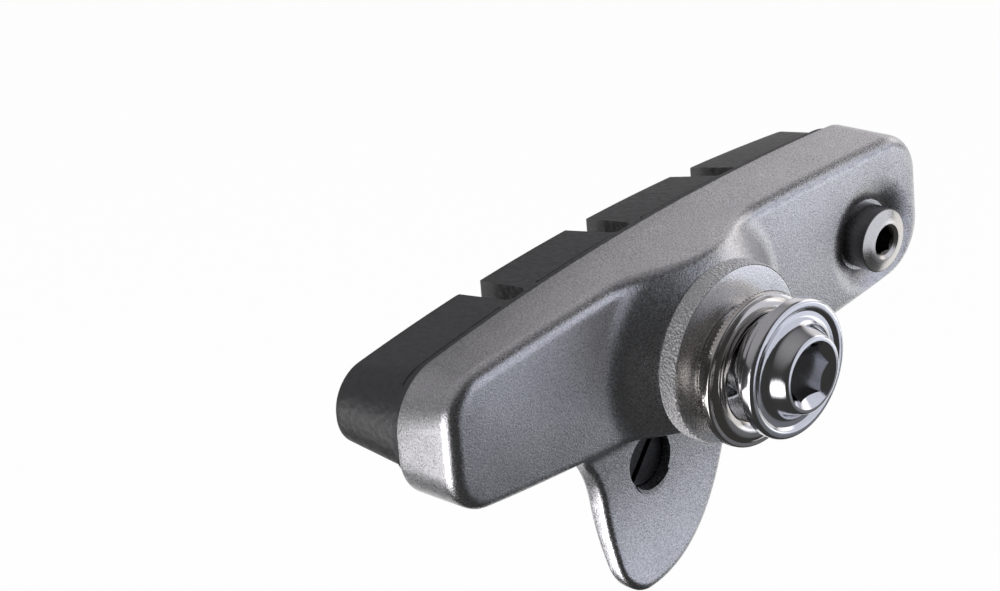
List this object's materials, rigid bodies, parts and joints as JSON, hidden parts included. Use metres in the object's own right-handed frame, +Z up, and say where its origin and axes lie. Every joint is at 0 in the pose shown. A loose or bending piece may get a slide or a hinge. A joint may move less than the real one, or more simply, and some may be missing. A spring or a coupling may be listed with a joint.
{
  "type": "bicycle rim brake pad",
  "caption": "Rim brake shoe: a cast holder with a flared boss, a curved guide fin and a sliding rubber pad with cross grooves, fixed by a hex bolt with a thick washer and a dished washer.",
  "frame": {"origin": "on the axis of the fixing bolt, in the outer face of the seat washer where a brake arm bears", "axes": "+X along the shoe from its closed end to its open end, +Y towards the wheel rim, +Z up, away from the guide fin"},
  "size_m": [0.0554, 0.0252, 0.027],
  "materials": {
    "holder": "fine bead-blasted silver grey",
    "pad": "moulded black, matt with a fine leathery grain on the sides",
    "small_screw": "plain stainless",
    "bolt": "bright polished",
    "seat": "satin faces and a coarse bright edge",
    "dish": "polished, slightly warm",
    "dark_screw": "dark blackened steel"
  },
  "bodies": {
    "root": {"shoe_holder": "holder", "brake_pad": "pad", "pad_screw": "small_screw", "fixing_bolt": "bolt", "seat_washer": "seat", "dish_washer": "dish", "guide_screw": "dark_screw"}
  },
  "joints": []
}
